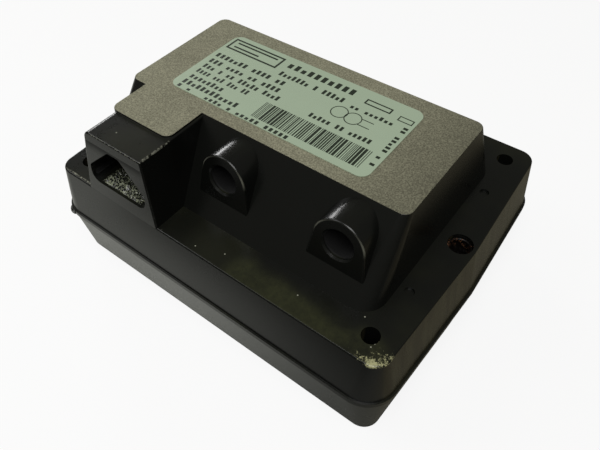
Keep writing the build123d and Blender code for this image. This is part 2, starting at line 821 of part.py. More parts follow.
os.makedirs("parts", exist_ok=True)
export_step(housing_shell.part, "parts/housing_shell.step")
export_step(base_tray.part, "parts/base_tray.step")
export_step(rating_label.part, "parts/rating_label.step")
export_step(spilled_resin.part, "parts/spilled_resin.step")
export_step(earth_bush.part, "parts/earth_bush.step")
export_step(earth_strap.part, "parts/earth_strap.step")
export_step(core_e_stack.part, "parts/core_e_stack.step")
export_step(core_i_stack.part, "parts/core_i_stack.step")
export_step(magnetic_shunts.part, "parts/magnetic_shunts.step")
export_step(core_band.part, "parts/core_band.step")
for name, piece in coil_parts.items():
    export_step(piece.part, f"parts/{name}.step")
for side, pin in outlet_pins.items():
    export_step(pin.part, f"parts/outlet_pin_{side}.step")
for side, lead in outlet_leads.items():
    export_step(lead.part, f"parts/outlet_lead_{side}.step")
export_step(socket_insert.part, "parts/socket_insert.step")
for name, blade in blades.items():
    export_step(blade.part, f"parts/{name}_blade.step")
export_step(line_lead.part, "parts/line_lead.step")
export_step(neutral_lead.part, "parts/neutral_lead.step")
export_step(earth_lead.part, "parts/earth_lead.step")
export_step(centre_tap_leads.part, "parts/centre_tap_leads.step")
export_step(potting_compound.part, "parts/potting_compound.step")
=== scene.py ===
# %% [markdown]
# # A potted ignition transformer
#
# The real object is a black moulded box, filled with resin, that makes the spark of an oil burner.
# Its construction is already modelled in CAD and arrives here as a fixed frame.
# This lesson gives it its finishes: grained and satin plastic, a printed label, tarnished metal,
# and the small accidents of moulding and use.

# %% Load the frame
import json
import math
import random

import bmesh
import bpy
from mathutils import Matrix, Vector, noise


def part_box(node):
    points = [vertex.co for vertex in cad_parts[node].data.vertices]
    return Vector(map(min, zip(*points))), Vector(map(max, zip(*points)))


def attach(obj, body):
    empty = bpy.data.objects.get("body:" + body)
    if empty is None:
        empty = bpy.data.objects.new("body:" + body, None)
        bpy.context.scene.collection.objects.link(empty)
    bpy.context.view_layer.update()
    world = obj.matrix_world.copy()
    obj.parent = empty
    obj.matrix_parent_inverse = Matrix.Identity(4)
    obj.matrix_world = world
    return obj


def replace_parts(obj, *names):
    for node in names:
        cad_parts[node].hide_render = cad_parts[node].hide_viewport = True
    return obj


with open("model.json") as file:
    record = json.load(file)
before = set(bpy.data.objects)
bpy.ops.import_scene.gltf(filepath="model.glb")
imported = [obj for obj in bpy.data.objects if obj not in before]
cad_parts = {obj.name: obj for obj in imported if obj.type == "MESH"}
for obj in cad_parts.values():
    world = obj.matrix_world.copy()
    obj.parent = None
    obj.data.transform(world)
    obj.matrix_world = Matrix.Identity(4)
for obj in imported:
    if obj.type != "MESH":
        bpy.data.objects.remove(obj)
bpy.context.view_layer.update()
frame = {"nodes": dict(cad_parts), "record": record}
nodes = frame["nodes"]
MM = 0.001
print("CAD nodes:", len(nodes))

# %% [markdown]
# ## Places that the later steps share
#
# The label lies on the block's top face, so its lower side gives that face's height.
# The flange's top has no node of its own, and neither have the marks of use,
# so their places are written down in millimetres.

# %% Places
label_low, label_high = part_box("rating_label")
spill_low, spill_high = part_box("spilled_resin")
shell_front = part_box("housing_shell")[0].y
mounts = {mount["name"]: mount for mount in frame["record"]["mounts"]}
block_top = label_low.z
flange_top = 37.0 * MM


def point(x, y, z):
    """A place given in millimetres."""
    return Vector((x, y, z)) * MM


print("block top and flange top, mm:", round(block_top / MM, 2), round(flange_top / MM, 2))

# %% [markdown]
# ## The camera
#
# A camera could be moved about until the picture looks right, but the proportions stay doubtful.
# Here the viewpoint was found by fitting a camera to the straight edges of the object.
# The eye stands close, about 19 cm from the middle, so the near corner looks larger than the far one.
# A slight roll and a small lens shift complete the fit.

# %% Camera
IMAGE_WIDTH = 600
SENSOR = 36.0
eye = Vector((79.47, -110.58, 162.21)) * MM
forward = Vector((-0.41179, 0.50373, -0.75939))
focal_pixels = 579.7
principal = (272.25, 230.23)
image_middle = (300.0, 225.0)
roll = math.radians(-1.58)

camera = bpy.data.objects.new("camera", bpy.data.cameras.new("camera"))
bpy.context.scene.collection.objects.link(camera)
camera.location = eye
camera.rotation_euler = forward.to_track_quat("-Z", "Y").to_euler()
camera.rotation_euler.rotate_axis("Z", roll)
camera.data.sensor_width = SENSOR
camera.data.lens = focal_pixels * SENSOR / IMAGE_WIDTH
camera.data.shift_x = (image_middle[0] - principal[0]) / IMAGE_WIDTH
camera.data.shift_y = (principal[1] - image_middle[1]) / IMAGE_WIDTH
camera.data.clip_start = 0.01
bpy.context.scene.camera = camera
bpy.context.scene.view_settings.view_transform = "Standard"
print("lens:", round(camera.data.lens, 2), "mm")

# %% [markdown]
# ## A small language for shaders
#
# Node trees get long when every link is written out.
# One class wraps an output socket, so that sums and products of sockets read as ordinary Python.
# Its `node` method makes any other node: settings first, then the values or links of its sockets.

# %% Shader expressions


class Signal:
    """An output socket that can be used as a number in an expression."""

    def __init__(self, socket):
        self.socket = socket
        self.tree = socket.id_data

    def node(self, kind, settings=None, sockets=None, output=0):
        """A node of one kind, set up and linked. The result is one of its outputs."""
        made = self.tree.nodes.new(kind)
        for name, value in (settings or {}).items():
            setattr(made, name, value)
        for name, value in (sockets or {}).items():
            if isinstance(value, Signal):
                self.tree.links.new(value.socket, made.inputs[name])
            else:
                made.inputs[name].default_value = value
        return Signal(made.outputs[output])

    def maths(self, operation, *others):
        """A mathematical operation on this signal and others."""
        return self.node("ShaderNodeMath", {"operation": operation}, dict(enumerate((self, *others))))

    def __add__(self, other):
        return self.maths("ADD", other)

    def __sub__(self, other):
        return self.maths("SUBTRACT", other)

    def __mul__(self, other):
        return self.maths("MULTIPLY", other)

    def __rsub__(self, other):
        return self.node("ShaderNodeMath", {"operation": "SUBTRACT"}, {0: other, 1: self})

    __radd__ = __add__
    __rmul__ = __mul__

    def clamped(self):
        """This signal, kept from 0 to 1."""
        return self.node("ShaderNodeClamp", None, {"Value": self})

    def step(self, start, end):
        """0 before start, 1 after end and smooth between them."""
        sockets = {"Value": self, "From Min": start, "From Max": end}
        return self.node("ShaderNodeMapRange", {"interpolation_type": "SMOOTHSTEP"}, sockets)

    def between(self, start, full, last, end):
        """0 before start, 1 from full to last and 0 again after end."""
        return self.step(start, full) * (1.0 - self.step(last, end))

    def part(self, axis):
        """One of the three numbers of a vector."""
        return self.node("ShaderNodeSeparateXYZ", None, {"Vector": self}, axis)

    def noise(self, size, detail=2.0, roughness=0.5, scale=None):
        """Cloudy noise with features of a size in metres. A scale under 1 draws them out along an axis."""
        where = self
        if scale:
            where = self.node("ShaderNodeMapping", None, {"Vector": self, "Scale": scale})
        sockets = {"Vector": where, "Scale": 1.0 / size, "Detail": detail, "Roughness": roughness}
        return self.node("ShaderNodeTexNoise", None, sockets, "Fac")

    def cells(self, size):
        """The distance from the middle of the nearest cell, for cells of a size in metres."""
        return self.node("ShaderNodeTexVoronoi", None, {"Vector": self, "Scale": 1.0 / size}, "Distance")

    def mix(self, first, second):
        """A colour that goes from the first to the second as this signal goes from 0 to 1."""
        return self.node("ShaderNodeMix", {"data_type": "RGBA"}, {0: self, 6: first, 7: second}, 2)

    def bump(self, height):
        """A normal bent by a height in metres."""
        return self.node("ShaderNodeBump", None, {"Height": height, "Strength": 1.0, "Distance": 1.0})

    def vector(self, operation, other, output=0):
        """A vector operation on this vector and another."""
        return self.node("ShaderNodeVectorMath", {"operation": operation}, {0: self, 1: other}, output)

    def near(self, place, reach, fade):
        """1 close to a place and 0 past its reach, with a soft edge."""
        return 1.0 - self.vector("DISTANCE", place, "Value").step(reach - fade, reach)

    def stretch(self, start, end, reach):
        """1 on the straight stretch from one point to another, and 0 past its reach."""
        run = end - start
        away = self.vector("SUBTRACT", tuple(start))
        share = away.vector("DOT_PRODUCT", tuple(run / run.length_squared), "Value").clamped()
        foot = share.node("ShaderNodeCombineXYZ", None, {axis: share * run[axis] for axis in range(3)})
        return 1.0 - away.vector("DISTANCE", foot, "Value").step(reach * 0.4, reach)


print("shader words:", [name for name in vars(Signal) if not name.startswith("_")])

# %% [markdown]
# Every material starts in the same way, with a Principled shader and the object's own coordinates,
# and ends with signals and numbers plugged into that shader.
# Colours are written as they look on a screen and turned into the linear values that Blender works in.

# %% Starting and ending a material
WHITE = (1.0, 1.0, 1.0, 1.0)


def colour(red, green, blue):
    """A base colour from screen values of 0 to 255."""
    shares = (red / 255, green / 255, blue / 255)
    return (*(v / 12.92 if v <= 0.04 else ((v + 0.055) / 1.055) ** 2.4 for v in shares), 1.0)


def new_material(name):
    """An empty Principled material, its shader and its object coordinates."""
    made = bpy.data.materials.new(name)
    made.use_nodes = True
    shader = made.node_tree.nodes["Principled BSDF"]
    place = Signal(shader.outputs[0]).node("ShaderNodeTexCoord", output="Object")
    return made, shader, place


def plug_in(shader, **inputs):
    """Links signals to the shader's sockets and writes numbers on them. Underscores stand for spaces."""
    for name, value in inputs.items():
        socket = shader.inputs[name.replace("_", " ")]
        if isinstance(value, Signal):
            shader.id_data.links.new(value.socket, socket)
        else:
            socket.default_value = value


print("a middle grey of 128 is", round(colour(128, 128, 128)[0], 3))

# %% [markdown]
# ## Floor, backdrop and light
#
# The object stands on a plain pale floor. One flat square is enough, if it reaches past the picture.

# %% Floor
floor_mesh = bpy.data.meshes.new("floor")
shape = bmesh.new()
bmesh.ops.create_grid(shape, x_segments=1, y_segments=1, size=4.0)
shape.to_mesh(floor_mesh)
shape.free()
floor = bpy.data.objects.new("floor", floor_mesh)
bpy.context.scene.collection.objects.link(floor)
print("floor:", floor_mesh.name)

# %% [markdown]
# The camera sees the floor almost white. Most of that is a plain glow that only the camera sees,
# and the rest is lit paint, which keeps the object's shadow.
# Black plastic has little colour of its own: its walls show a dim reflection of the floor.
# So for all other rays the paint is pale only along the object's front and at its left, olive beyond
# the right end and dark elsewhere, as if cards lay there. A photographer would darken black walls so too.

# %% Paint of the floor
CARD_DARK = (0.06, 0.06, 0.055, 1.0)
CARD_PALE = (0.68, 0.69, 0.64, 1.0)
CARD_OLIVE = (0.22, 0.20, 0.14, 1.0)
FLOOR_SEEN = (0.9, 0.9, 0.9, 1.0)
GLOW = 0.84

floor_paint, floor_shader, floor_place = new_material("pale_floor")
east = floor_place.part(0)
north = floor_place.part(1)
beyond_end = east.step(45 * MM, 85 * MM) * north.step(-75 * MM, -35 * MM)
along_foot = north.step(-92 * MM, -70 * MM) * (1.0 - 0.75 * east.step(-20 * MM, 60 * MM))
at_left = (1.0 - east.step(-85 * MM, -45 * MM)) * north.step(-140 * MM, -90 * MM)
cards = along_foot.maths("MAXIMUM", at_left).mix(CARD_DARK, CARD_PALE)
camera_ray = floor_place.node("ShaderNodeLightPath", output="Is Camera Ray")
floor_colour = camera_ray.mix(beyond_end.mix(cards, CARD_OLIVE), FLOOR_SEEN)
plug_in(floor_shader, Base_Color=floor_colour, Roughness=0.9, Specular_IOR_Level=0.0)

glow = camera_ray.node("ShaderNodeEmission", None, {"Color": WHITE, "Strength": 1.0})
lit = Signal(floor_shader.outputs[0])
blend = camera_ray.node("ShaderNodeMixShader", None, {0: camera_ray * GLOW, 1: lit, 2: glow})
floor_paint.node_tree.links.new(blend.socket, floor_paint.node_tree.nodes["Material Output"].inputs[0])
floor_mesh.materials.append(floor_paint)
print("floor paint:", floor_paint.name)

# %% [markdown]
# Three soft lamps light the object. The broad one hangs high in front, where no face that looks up
# mirrors it to the camera, so the label is lit as its colour is written and the flange stays dark.
# A small lamp at the near left adds a little light from that side,
# and a low window at the far left draws the streaks on the outlet tubes.

# %% Lamps


def soft_lamp(name, place, size, power):
    """A square area lamp that looks at the middle of the object."""
    lamp = bpy.data.objects.new(name, bpy.data.lights.new(name, "AREA"))
    bpy.context.scene.collection.objects.link(lamp)
    lamp.location = place
    lamp.rotation_euler = (point(0, 0, 30) - Vector(place)).to_track_quat("-Z", "Y").to_euler()
    lamp.data.size = size
    lamp.data.energy = power
    return lamp


soft_lamp("ceiling", (0.30, -0.55, 1.30), 0.9, 14.0)
soft_lamp("near_left", (-0.27, -0.14, 0.36), 0.22, 0.35)
window = soft_lamp("left_window", (-1.1, 0.62, 0.30), 0.42, 3.2)
window.data.shape = "RECTANGLE"
window.data.size_y = 0.20

# %% [markdown]
# The room itself gives a dim, slightly yellow light from all sides, and the camera sees it white.

# %% Room
ROOM_LIGHT = 0.12
ROOM_TINT = (1.0, 1.0, 0.86, 1.0)

world = bpy.data.worlds.new("room")
bpy.context.scene.world = world
world.use_nodes = True
room = world.node_tree.nodes["Background"]
seen = Signal(room.outputs[0]).node("ShaderNodeLightPath", output="Is Camera Ray")
plug_in(room, Color=seen.mix(ROOM_TINT, WHITE), Strength=ROOM_LIGHT + seen * (1 - ROOM_LIGHT))
print("room light:", ROOM_LIGHT)

# %% [markdown]
# ## The black moulding
#
# Both shells are moulded from one black plastic with a satin skin.
# It is painted a little olive where it faces up, a painted light from above, and its two ends are painted
# lighter, as lit, with brownish streaks that run down.
# One flat colour would look like a toy, so noise on the object's coordinates clouds it,
# and stays in place from every side.
# The skin comes first, and each mark of the real moulding is then a layer over it,
# which is a mask and the colour that it shows. A small class holds the material while it is made.

# %% The satin skin
plastic_black = colour(12, 13, 11)
lit_top_olive = colour(25, 26, 16)
lit_end_brown = colour(30, 27, 18)
tray_black = colour(30, 32, 28)
lit_end_olive = colour(50, 48, 34)
GLOSS = 0.45
FINE_RELIEF = 0.008 * MM
SWIRL_RELIEF = 0.022 * MM
STREAK_RELIEF = 0.05 * MM


class Surface:
    """A moulding's material in the making, with its colour, roughness and relief."""

    def __init__(self, name, black):
        self.material, self.shader, self.place = new_material(name)
        facing = self.place.node("ShaderNodeTexCoord", output="Normal")
        self.upward = facing.part(2).step(0.85, 0.97)
        self.broad = self.place.noise(22 * MM, 3.0)
        fine = self.place.noise(0.9 * MM, 4.0, 0.6)
        swirl = self.place.noise(2.6 * MM, 3.0, 0.55, (1.0, 0.45, 1.0))
        streaks = self.place.noise(3.0 * MM, 4.0, 0.6, (1.0, 1.0, 0.12))
        below_flange = 1.0 - self.place.part(2).step(flange_top - 0.6 * MM, flange_top)
        endward = facing.part(0).maths("ABSOLUTE").step(0.8, 0.95) * below_flange
        # Painted light: faces that look up are painted a lighter olive, and the ends below the flange
        # lighter brown and olive in streaks.
        self.base = (self.upward * self.broad.step(0.35, 0.75)).mix(black, lit_top_olive)
        self.base = endward.mix(self.base, streaks.step(0.38, 0.66).mix(lit_end_brown, lit_end_olive))
        self.rough = 0.20 + 0.07 * self.broad + 0.05 * fine + 0.05 * self.upward * swirl
        self.relief = fine * FINE_RELIEF + swirl * SWIRL_RELIEF * self.upward
        self.relief = self.relief + streaks * STREAK_RELIEF * endward

    def layer(self, mask, shade, rough=None):
        """Lays a colour over what is there, and a roughness where one is given."""
        self.base = mask.mix(self.base, shade)
        if rough is not None:
            self.rough = self.rough * (1 - mask) + rough * mask

    def complete(self):
        """Plugs the layers into the shader."""
        plug_in(self.shader, Base_Color=self.base, Roughness=self.rough, Specular_IOR_Level=GLOSS)
        plug_in(self.shader, Normal=self.place.bump(self.relief))
        return self.material


print("relief of the skin, mm:", round((FINE_RELIEF + SWIRL_RELIEF) / MM, 3))

# %% [markdown]
# The block's top face came from a rough patch of the mould, which leaves a fine grey grain.
# Modelled as bumps, it would take millions of faces. Two patterns in the shader do as well,
# with features of about 0.4 mm, and towards the right end the grain is painted darker, as painted shade.
# It belongs to the same piece as the rest, so a mask on height picks it out.

# %% The grained top
grain_light = colour(149, 147, 124)
grain_dark = colour(98, 96, 78)
grain_in_painted_shade = colour(60, 58, 46)
GRAIN_RELIEF = 0.03 * MM
GRAIN_ROUGHNESS = 0.80


def grained_top(surface):
    """The grey grain of the block's top face."""
    place = surface.place
    top = place.part(2).step(block_top - 0.12 * MM, block_top - 0.02 * MM)
    weave = place.cells(0.40 * MM)
    speckle = place.noise(0.42 * MM, 2.0, 0.7, (1.0, 0.6, 1.0))
    cloud = place.noise(9 * MM, 2.0)
    shade = (weave * 0.55 + speckle + cloud * 0.25).step(0.55, 1.30)
    # Towards the right end the grain is painted darker: painted shade, where less light falls.
    painted_falloff = place.part(0).step(15 * MM, 62 * MM) * 0.85
    grain = painted_falloff.mix(shade.mix(grain_dark, grain_light), shade.mix(grain_in_painted_shade, grain_dark))
    surface.layer(top, grain, GRAIN_ROUGHNESS)
    surface.relief = surface.relief * (1 - top) + (weave + speckle) * GRAIN_RELIEF * top


print("grain relief, mm:", GRAIN_RELIEF / MM)

# %% [markdown]
# Hardly any light comes back out of the mains socket and the two outlet bores.
# Lamps could be kept away from them, but only for one point of view,
# so their walls get a painted shade, almost black, with a mask for each.
# The masks have a front and a back, so that no other wall in line with an opening turns dark.
# The places and radii of the bores are those of the record's mounts.

# %% Painted shade in the openings
painted_shade_black = colour(1, 1, 1)
SOCKET_X = (-41.5 * MM, -41.0 * MM, -19.0 * MM, -18.5 * MM)
SOCKET_Y = (-45.6 * MM, -44.8 * MM, -29.0 * MM, -28.0 * MM)
SOCKET_Z = (42.5 * MM, 43.0 * MM, 55.5 * MM, 56.0 * MM)
BORE_DEPTH = (0.1 * MM, 1.2 * MM, 20.0 * MM, 21.0 * MM)

outlets = []
for name in ("outlet_bore_left", "outlet_bore_right"):
    size = mounts[name]["dims"]
    mouth = Vector(mounts[name]["pos_m"]) - Vector((0, size["length_mm"] / 2 * MM, 0))
    outlets.append((mouth, size["r_mm"] * MM))


def from_axis(place, mouth):
    """The distance from an outlet's axis, and the height above it."""
    across = place.part(0) - mouth.x
    above = place.part(2) - mouth.z
    return (across * across + above * above).maths("SQRT"), above


def painted_shade_in_openings(surface):
    """The painted shade inside the mains socket and the outlet bores."""
    place = surface.place
    depth = place.part(1)
    dark = place.part(0).between(*SOCKET_X) * depth.between(*SOCKET_Y) * place.part(2).between(*SOCKET_Z)
    for mouth, bore in outlets:
        inside = 1.0 - from_axis(place, mouth)[0].step(bore + 0.05 * MM, bore + 0.25 * MM)
        dark = dark + inside * (depth - mouth.y).between(*BORE_DEPTH)
    surface.layer(dark.clamped(), painted_shade_black, 1.0)


print("outlet bores, radius in mm:", [round(bore / MM, 2) for _, bore in outlets])

# %% [markdown]
# An olive pool of painted light lies along the front of the flange, towards the near corner.
# Behind it, at the foot of the block, lies a painted shadow.
# Both are colour only. Each is a soft stretch between two points,
# and noise breaks up the painted light.

# %% Painted light and shadow
painted_light_olive = colour(54, 56, 34)
PAINTED_LIGHT_STRIP = (point(16.0, -45.5, 37.0), point(52.0, -45.5, 37.0), 9.0 * MM)
PAINTED_SHADOW_STRIP = (point(29.0, -35.5, 37.0), point(44.0, -38.5, 37.0), 6.5 * MM)
PAINTED_SHADOW_STRENGTH = 0.75


def painted_light_and_shadow(surface):
    """A painted light in olive along the flange's front edge, and a painted shadow behind it."""
    # The mask called film is a painted light, and the second layer is a painted shadow at the foot of the
    # block.
    film = surface.place.stretch(*PAINTED_LIGHT_STRIP) * surface.place.noise(1.3 * MM, 4.0, 0.7)
    surface.layer(film * surface.upward * surface.broad.step(0.2, 0.6), painted_light_olive)
    surface.layer(surface.place.stretch(*PAINTED_SHADOW_STRIP) * PAINTED_SHADOW_STRENGTH, plastic_black)


print("length of the film, mm:", round((PAINTED_LIGHT_STRIP[1] - PAINTED_LIGHT_STRIP[0]).length / MM, 1))

# %% [markdown]
# The near corner of the flange is rubbed and has gone a pale yellow.
# The wear is only skin deep, so it stays a colour. Rough noise makes its ragged outline,
# and closeness to the corner and to its edges lifts that noise over the threshold.

# %% Worn corner
scuff = colour(172, 170, 128)
CORNER = (point(57.6, -45.4, 37.0), 13.0 * MM, 12.0 * MM)
CORNER_LIFT = 0.24
EDGE_LIFT = 0.09
CORNER_EDGES = (
    (point(49.0, -46.2, 36.9), point(56.0, -46.2, 36.9), 1.6 * MM),
    (point(56.0, -46.2, 36.9), point(59.3, -42.0, 36.9), 1.8 * MM),
)


def worn_corner(surface):
    """The pale rubbed patch on the near corner of the flange."""
    place = surface.place
    rubbed = place.noise(0.9 * MM, 5.0, 0.85) + place.near(*CORNER) * CORNER_LIFT
    for start, end, reach in CORNER_EDGES:
        rubbed = rubbed + place.stretch(start, end, reach) * EDGE_LIFT
    on_top = place.part(2).step(flange_top - 1.0 * MM, flange_top - 0.4 * MM)
    surface.layer(rubbed.step(0.80, 0.90) * on_top, scuff)


print("rubbed edges at the corner:", len(CORNER_EDGES))

# %% [markdown]
# A few edges that catch the light get thin painted highlights, broken up by noise.
# A node that finds every edge would brighten them all, so the few lit ones are given by their ends.
# The rims of the outlets' mouths get painted highlights too, and a few pale specks lie about.

# %% Painted highlights on edges and rims, and specks
pale_highlight_and_speck = colour(150, 150, 135)
HIGHLIGHT_EDGES = (
    (point(-56.4, -46.4, 37.0), point(-43.5, -46.4, 37.0), 0.35 * MM, 0.8),
    (point(-39.7, -45.0, 58.7), point(-19.3, -45.0, 58.7), 0.35 * MM, 1.0),
    (point(-18.9, -44.4, 58.7), point(-18.6, -34.0, 58.7), 0.60 * MM, 0.6),
)
SPECKS = (
    (24.9, -35.1, 37.0), (6.5, -42.2, 37.0), (-13.8, -46.4, 36.8), (47.8, -36.0, 37.0),
    (53.8, -41.1, 37.0), (53.5, -42.4, 37.0), (30.5, -41.0, 37.0), (-2.0, -45.0, 37.0),
    (1.8, -21.9, 58.0), (-33.0, -40.0, 58.7),
)
SPECK_REACH = 0.27 * MM
SPECK_FADE = 0.17 * MM
OUTLET_RADIUS = 7.7 * MM
RIM_HIGHLIGHT_STRENGTH = 0.7


def painted_highlights_and_specks(surface):
    """Painted highlights on a few edges and on the rims of the outlets, and pale specks."""
    place = surface.place
    broken = place.noise(0.8 * MM, 3.0, 0.7).step(0.46, 0.58)
    marks = [place.near(point(*speck), SPECK_REACH, SPECK_FADE) for speck in SPECKS]
    # The edges and rims below are painted highlights; the specks above are pale marks on the plastic.
    for start, end, reach, strength in HIGHLIGHT_EDGES:
        marks.append(place.stretch(start, end, reach) * broken * strength)
    for mouth, _ in outlets:
        radius, above = from_axis(place, mouth)
        rim = 1.0 - (radius - OUTLET_RADIUS).maths("ABSOLUTE").step(0.1 * MM, 0.5 * MM)
        at_mouth = 1.0 - (place.part(1) - mouth.y).step(0.3 * MM, 1.0 * MM)
        marks.append(rim * above.step(0.0, 4.0 * MM) * at_mouth * RIM_HIGHLIGHT_STRENGTH)
    surface.layer(sum(marks).clamped(), pale_highlight_and_speck)


print("bright edges and specks:", len(HIGHLIGHT_EDGES), len(SPECKS))

# %% [markdown]
# The upper shell carries all the marks. The tray under it is plain and a little paler.

# %% Both shells
housing = Surface("black_moulding_grained", plastic_black)
for mark in (grained_top, painted_shade_in_openings, painted_light_and_shadow, worn_corner, painted_highlights_and_specks):
    mark(housing)
housing_finish = housing.complete()
tray_finish = Surface("black_moulding_plain", tray_black).complete()
print("moulding materials:", housing_finish.name, tray_finish.name)

# %% [markdown]
# ## The other finishes
#
# The pieces inside are hidden by the shells, but each still gets its own finish,
# because the model can be opened.
# Plain finishes share one function: a colour that clouds a little, a roughness and a fine grain.

# %% Plain finishes
CLOUD_SIZE = 6 * MM
GRAIN_SIZE = 0.5 * MM


def plain_finish(name, shade, rough, metal=0.0, cloud=0.25, grain=0.004 * MM):
    """A finish that is the same all over but for a little cloudiness and grain."""
    made, shader, place = new_material(name)
    darker = tuple(v * (1 - cloud) for v in shade[:3]) + (1.0,)
    fine = place.noise(GRAIN_SIZE, 3.0, 0.6)
    plug_in(
        shader,
        Base_Color=place.noise(CLOUD_SIZE, 3.0).mix(darker, shade),
        Roughness=rough + 0.12 * (fine - 0.5),
        Metallic=metal,
        Normal=place.bump(fine * grain),
    )
    return made


finishes = {
    "label_film": plain_finish("label_film", colour(166, 182, 158), 0.38, cloud=0.05, grain=0.001 * MM),
    "core_steel": plain_finish("varnished_sheet", (0.22, 0.22, 0.23, 1.0), 0.45, 0.9),
    "band_steel": plain_finish("plain_band", (0.42, 0.42, 0.43, 1.0), 0.35, 0.95),
    "bobbin_nylon": plain_finish("natural_nylon", (0.72, 0.69, 0.58, 1.0), 0.5),
    "copper_winding": plain_finish("enamelled_copper", (0.55, 0.22, 0.09, 1.0), 0.32, 0.85),
    "wrap_tape": plain_finish("yellow_tape", (0.70, 0.55, 0.12, 1.0), 0.4),
    # The contacts and their carrier sit in the dark socket and bores, so they are painted darker than
    # brass and plastic are: painted shade.
    "contact_brass": plain_finish("brass_in_painted_shade", (0.10, 0.08, 0.05, 1.0), 0.5, 0.9),
    "tinned_copper": plain_finish("tinned_strap", (0.68, 0.67, 0.64, 1.0), 0.35, 0.95),
    "insert_plastic": plain_finish("carrier_plastic_in_painted_shade", colour(5, 5, 5), 0.7),
    "red_insulation": plain_finish("red_insulation", (0.42, 0.04, 0.03, 1.0), 0.5),
    "brown_insulation": plain_finish("brown_insulation", (0.16, 0.07, 0.03, 1.0), 0.5),
    "blue_insulation": plain_finish("blue_insulation", (0.03, 0.10, 0.38, 1.0), 0.5),
    "green_insulation": plain_finish("green_insulation", (0.08, 0.32, 0.06, 1.0), 0.5),
    "white_insulation": plain_finish("white_insulation", (0.75, 0.75, 0.72, 1.0), 0.5),
    "potting_resin": plain_finish("cast_resin", (0.06, 0.045, 0.03, 1.0), 0.3),
}
print("plain finishes:", len(finishes))

# %% [markdown]
# The bush in the earth hole has gone brown with rust, in small patches that noise draws well.
# The rust is coloured only near the top: deeper in, the ring gets a painted shade, as dark as the hole.

# %% Rusty bush
rust, shader, place = new_material("rusty_steel")
patches = place.noise(0.8 * MM, 4.0, 0.7).step(0.52, 0.62)
shallow = place.part(2).step(flange_top - 5 * MM, flange_top - 1.4 * MM)
plug_in(
    shader,
    # Below the shallow mask the colour is a painted shade, near black.
    Base_Color=(patches * shallow).mix(colour(14, 11, 9), colour(124, 84, 56)),
    Metallic=0.5 * shallow,
    Roughness=0.35 + 0.3 * patches,
    Normal=place.bump(patches * (0.03 * MM)),
)
finishes["bush_steel"] = rust
print("rust:", rust.name)

# %% [markdown]
# ## Putting the finishes on the CAD nodes
#
# Each node of the record names a material slot, so one loop dresses them all.
# The lumps in the socket are the same resin that fills the box.

# %% Dress the CAD nodes
finishes["resin_lumps"] = finishes["potting_resin"]
for subpart in frame["record"]["subparts"]:
    node = nodes[subpart["node"]]
    if subpart["material_slot"] == "black_moulding":
        finish = housing_finish if subpart["node"] == "housing_shell" else tray_finish
    else:
        finish = finishes[subpart["material_slot"]]
    node.data.materials.clear()
    node.data.materials.append(finish)

# %% [markdown]
# ## The print on the label
#
# The label is printed in dark ink. An image would blur when the camera comes close,
# and real print is only a few hundredths of a millimetre thick,
# so the marks are flat bars that stand a hair above the film.
# They say nothing. Each word is a run of plain strokes, with the size and spacing of the real print,
# beside a field of stripes, two rings for the two windings and a few empty frames.

# %% Bars, word rows and frames
INK_TOP = label_high.z + 0.01 * MM
INK_DEPTH = 0.03 * MM
INK_MIDDLE = INK_TOP - INK_DEPTH / 2
STROKE_SHARE = 0.60
STROKE_DROPS = (0.0, 0.0, 0.18, 0.32)
random.seed(7)


def bar(shape, left, right, bottom, top, turn=None):
    """A flat mark between its four sides, in millimetres, turned about a point where asked."""
    size = Matrix.Diagonal(((right - left) * MM, (top - bottom) * MM, INK_DEPTH, 1.0))
    place = Matrix.Translation(((left + right) / 2 * MM, (bottom + top) / 2 * MM, INK_MIDDLE))
    bmesh.ops.create_cube(shape, size=1.0, matrix=(turn or Matrix()) @ place @ size)


def word_row(shape, left, right, middle, height, words, turn=None):
    """A row of words. Every character is one plain upright mark, and some are a little lower."""
    pitch = (right - left) / (sum(words) + len(words) - 1)
    low, high = middle - height / 2, middle + height / 2
    x = left
    for count in words:
        for _ in range(count):
            drop = random.choice(STROKE_DROPS) * height
            bar(shape, x, x + STROKE_SHARE * pitch, low, high - drop, turn)
            x += pitch
        x += pitch


def open_frame(shape, left, right, bottom, top, line):
    """An empty frame of four bars."""
    bar(shape, left, right, bottom, bottom + line)
    bar(shape, left, right, top - line, top)
    bar(shape, left, left + line, bottom + line, top - line)
    bar(shape, right - line, right, bottom + line, top - line)


print("ink stands above the film, mm:", round((INK_TOP - label_high.z) / MM, 3))

# %% [markdown]
# A torus would stand up like wire. Ink is flat, so a ring is a small upright rectangle, spun once round.
# Finished shapes all become objects in the same way, so one function does that for every piece.

# %% Rings and pieces
RING_STEPS = 48


def ring(shape, x, y, radius, line):
    """A flat ring: a small upright rectangle spun once round."""
    centre = Vector((x * MM, y * MM, INK_MIDDLE))
    stand = Matrix.Translation(centre + Vector((radius * MM, 0, 0))) @ Matrix.Rotation(math.pi / 2, 4, "X")
    slim = stand @ Matrix.Diagonal((line * MM, INK_DEPTH, 1.0, 1.0))
    corners = bmesh.ops.create_grid(shape, x_segments=1, y_segments=1, size=0.5, matrix=slim)["verts"]
    face = corners[0].link_faces[0]
    rim = list(face.edges)
    turn = {"cent": centre, "axis": (0, 0, 1), "angle": 2 * math.pi, "steps": RING_STEPS}
    bmesh.ops.spin(shape, geom=rim, use_merge=True, **turn)
    bmesh.ops.delete(shape, geom=[face], context="FACES_ONLY")


def add_piece(name, shape, finish):
    """Turns a bmesh into an object of the part."""
    bmesh.ops.recalc_face_normals(shape, faces=shape.faces)
    mesh = bpy.data.meshes.new(name)
    shape.to_mesh(mesh)
    shape.free()
    mesh.materials.append(finish)
    piece = bpy.data.objects.new(name, mesh)
    bpy.context.scene.collection.objects.link(piece)
    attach(piece, "root")
    print(name, "faces:", len(mesh.polygons))
    return piece


print("steps round a ring:", RING_STEPS)

# %% [markdown]
# Each row below gives its left and right ends, its middle line, its height and its words' lengths.
# The last row stands upright at the label's right side.

